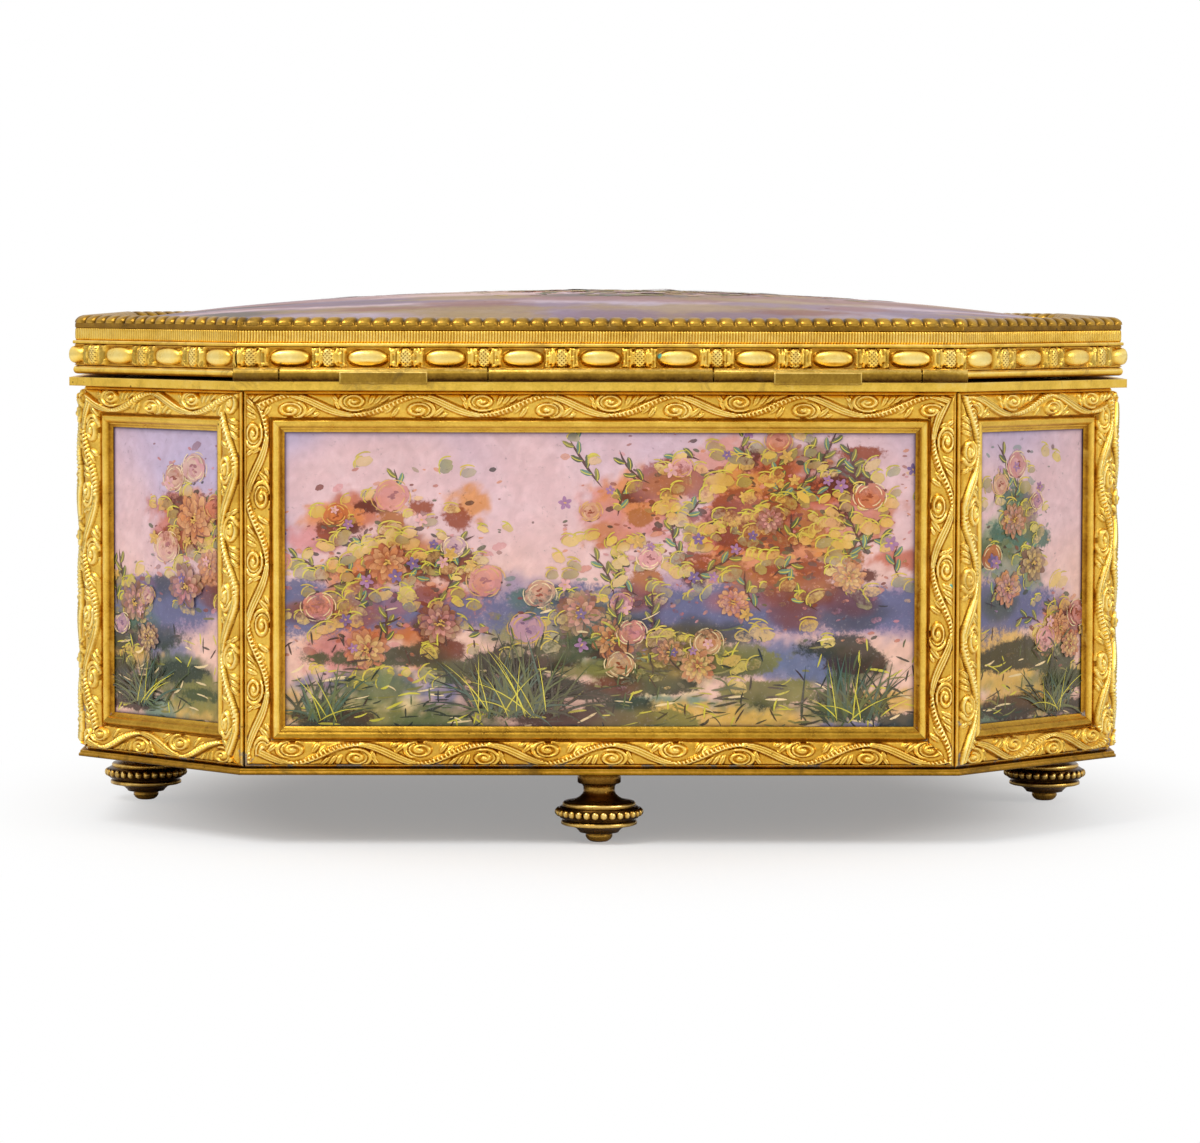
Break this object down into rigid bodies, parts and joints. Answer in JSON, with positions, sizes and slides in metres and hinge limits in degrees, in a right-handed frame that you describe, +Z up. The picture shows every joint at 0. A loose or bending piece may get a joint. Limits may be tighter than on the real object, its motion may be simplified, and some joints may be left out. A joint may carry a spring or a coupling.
{
  "type": "enamel casket",
  "caption": "Octagonal gilt brass casket with enamel plaques in mitred moulded frames, a domed enamel lid on a pin hinge, an egg-and-reel band, turned beaded feet, a lock bolt and a padded lining.",
  "frame": {"origin": "on the ground, under the middle of the box", "axes": "+X along the length, +Y towards the lock side with the hinge on the -Y side, +Z up"},
  "size_m": [0.25, 0.1951, 0.1268],
  "materials": {
    "gilt_brass": "satin gilding, bright on the raised ornament",
    "worn_brass": "rubbed, slightly olive gilding",
    "foot_bronze": "darkened turned bronze",
    "enamel": "glossy painted enamel on copper",
    "lining_fabric": "short pile",
    "board": "plain thin board",
    "lock_steel": "filed, slightly dull"
  },
  "bodies": {
    "base": {"base_plate": "worn_brass", "foot_back": "foot_bronze", "foot_right": "foot_bronze", "foot_front": "foot_bronze", "foot_left": "foot_bronze", "foot_nut_back": "lock_steel", "foot_nut_right": "lock_steel", "foot_nut_front": "lock_steel", "foot_nut_left": "lock_steel", "frame_back": "gilt_brass", "frame_back_right": "gilt_brass", "frame_right": "gilt_brass", "frame_front_right": "gilt_brass", "frame_front": "gilt_brass", "frame_front_left": "gilt_brass", "frame_left": "gilt_brass", "frame_back_left": "gilt_brass", "plaque_back": "enamel", "plaque_back_right": "enamel", "plaque_right": "enamel", "plaque_front_right": "enamel", "plaque_front": "enamel", "plaque_front_left": "enamel", "plaque_left": "enamel", "plaque_back_left": "enamel", "key_escutcheon": "worn_brass", "body_flange": "worn_brass", "liner_floor": "board", "liner_wall": "lining_fabric", "floor_pad": "lining_fabric", "hinge_body_leaf": "worn_brass", "hinge_pin": "worn_brass", "hinge_stop_left": "worn_brass", "hinge_stop_right": "worn_brass", "lock_case": "lock_steel"},
    "lid": {"lid_frame": "worn_brass", "lid_board": "board", "lid_pad": "lining_fabric", "lid_lower_moulding": "worn_brass", "lid_egg_gallery": "gilt_brass", "lid_fillet": "worn_brass", "lid_reeded_band": "gilt_brass", "lid_top_rim": "gilt_brass", "lid_plaque": "enamel", "hinge_lid_leaf": "worn_brass", "lock_link_plate": "lock_steel"},
    "bolt": {"lock_bolt": "lock_steel"}
  },
  "joints": [
    {"name": "lid_hinge", "type": "hinge", "parent": "base", "child": "lid", "pos_m": [0, -0.0966, 0.108], "axis": [1, 0, 0], "range_deg": [0, 95]},
    {"name": "lock_bolt_slide", "type": "slide", "parent": "base", "child": "bolt", "axis": [1, 0, 0], "range_m": [0, 0.004]}
  ]
}
